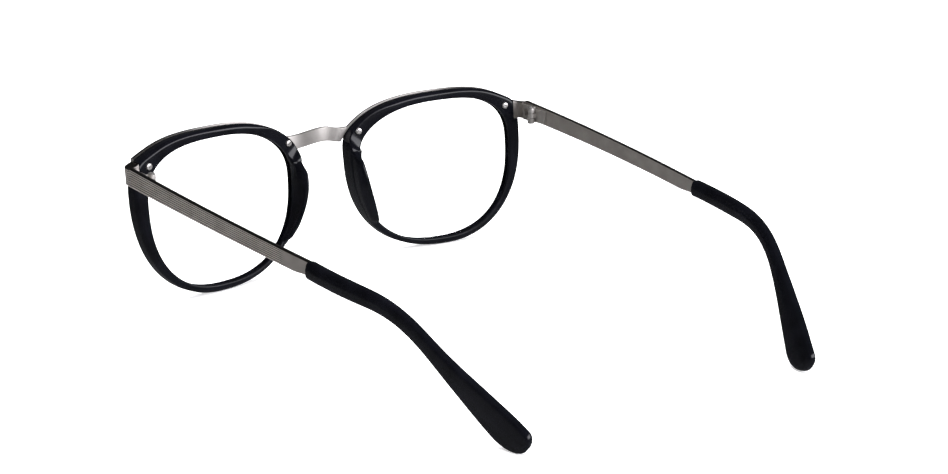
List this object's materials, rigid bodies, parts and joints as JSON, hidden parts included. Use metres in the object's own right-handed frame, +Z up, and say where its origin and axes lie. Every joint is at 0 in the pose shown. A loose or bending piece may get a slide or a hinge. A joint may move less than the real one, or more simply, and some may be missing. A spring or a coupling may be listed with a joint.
{
  "type": "eyeglasses",
  "caption": "Full-rim spectacles with acetate rims, a metal brow, bridge and grooved temples that fold on barrel hinges, and bent acetate temple tips.",
  "frame": {"origin": "middle of the whole outline seen from above, at table height, with the temples open", "axes": "+X to the wearer's left, the front faces -Y, the temples run back along +Y, +Z up"},
  "size_m": [0.125, 0.1478, 0.0428],
  "materials": {
    "acetate": "polished black acetate",
    "lens": "clear, polished",
    "satin_metal": "satin plated",
    "pewter": "satin gunmetal plating",
    "screw_steel": "bright"
  },
  "bodies": {
    "front": {"bridge": "satin_metal", "rim_left": "acetate", "rim_right": "acetate", "lens_left": "lens", "lens_right": "lens", "nose_pad_left": "acetate", "nose_pad_right": "acetate", "brow_bar_left": "satin_metal", "brow_bar_right": "satin_metal", "endpiece_left": "pewter", "endpiece_right": "pewter", "hinge_front_left": "satin_metal", "hinge_front_right": "satin_metal", "hinge_screw_left": "screw_steel", "hinge_screw_right": "screw_steel", "rim_screw_nasal_left": "screw_steel", "rim_screw_nasal_right": "screw_steel", "rim_screw_temporal_left": "screw_steel", "rim_screw_temporal_right": "screw_steel"},
    "temple_left": {"temple_left": "pewter", "core_wire_left": "screw_steel", "temple_tip_left": "acetate", "hinge_rear_left": "satin_metal"},
    "temple_right": {"temple_right": "pewter", "core_wire_right": "screw_steel", "temple_tip_right": "acetate", "hinge_rear_right": "satin_metal"}
  },
  "joints": [
    {"name": "temple_left_fold", "type": "hinge", "parent": "front", "child": "temple_left", "pos_m": [0.0592, -0.05495, 0.0346], "axis": [0, 0, 1], "range_deg": [0, 85]},
    {"name": "temple_right_fold", "type": "hinge", "parent": "front", "child": "temple_right", "pos_m": [-0.0592, -0.05495, 0.0346], "axis": [0, 0, -1], "range_deg": [0, 80]}
  ]
}
